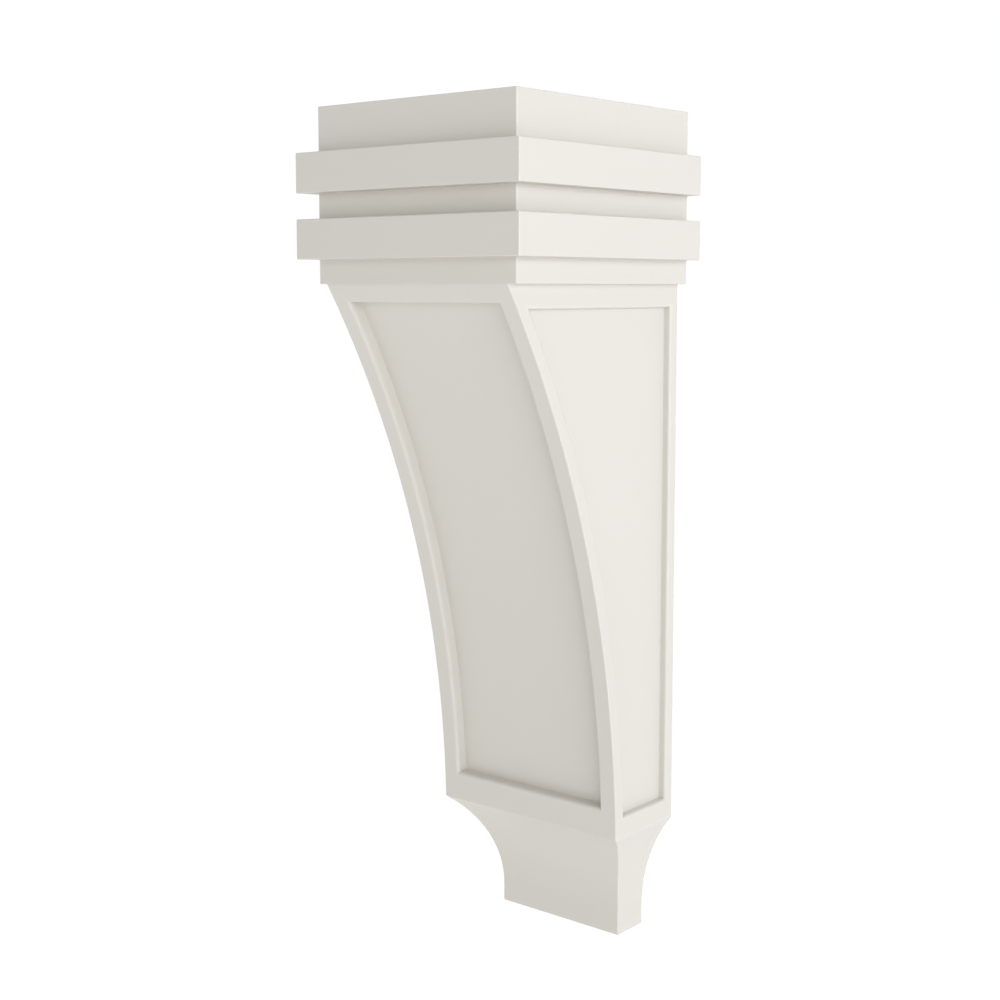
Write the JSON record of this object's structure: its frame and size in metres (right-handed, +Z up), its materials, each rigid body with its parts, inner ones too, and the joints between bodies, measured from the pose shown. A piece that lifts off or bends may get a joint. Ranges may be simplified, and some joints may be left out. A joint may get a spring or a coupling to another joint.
{
  "type": "corbel",
  "caption": "Painted wooden corbel: concave panelled bracket with coved foot under a square cap block with flat bands, fixed by its plumb back and carrying a ledge on top.",
  "frame": {"origin": "middle of the plumb back, half way up, in the plane that meets the wall", "axes": "+Y out of the back towards the wall, so the concave front faces -Y; +Z up, towards the top of the cap block; X across the width"},
  "size_m": [0.1144, 0.1164, 0.3474],
  "materials": {
    "painted_wood": "warm off-white satin paint over smooth wood, edges slightly eased"
  },
  "bodies": {
    "root": {"body": "painted_wood", "cap_block": "painted_wood", "upper_band": "painted_wood", "lower_band": "painted_wood"}
  },
  "joints": []
}
